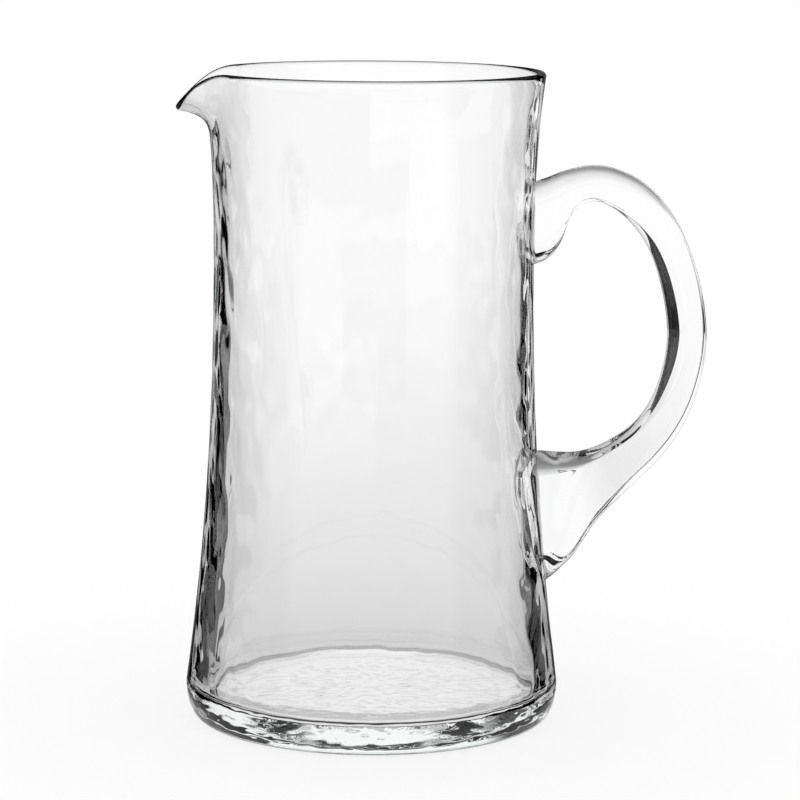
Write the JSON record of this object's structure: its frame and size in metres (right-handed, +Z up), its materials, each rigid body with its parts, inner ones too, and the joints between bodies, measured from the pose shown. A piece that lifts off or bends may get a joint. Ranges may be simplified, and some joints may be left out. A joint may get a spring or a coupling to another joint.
{
  "type": "glass pitcher",
  "caption": "Tall hand-blown clear glass pitcher with a waisted body, thick heavy base, pulled pouring spout and an applied solid glass strap handle.",
  "frame": {"origin": "centre of the flat underside, on the vessel's axis, at the level that it stands on", "axes": "+Z up along the vessel's axis, +X towards the handle, -X towards the spout"},
  "size_m": [0.2037, 0.1448, 0.25],
  "materials": {
    "vessel_glass": "clear, polished, softly rippled",
    "handle_glass": "clear, polished, smooth"
  },
  "bodies": {
    "root": {"vessel": "vessel_glass", "handle": "handle_glass"}
  },
  "joints": []
}
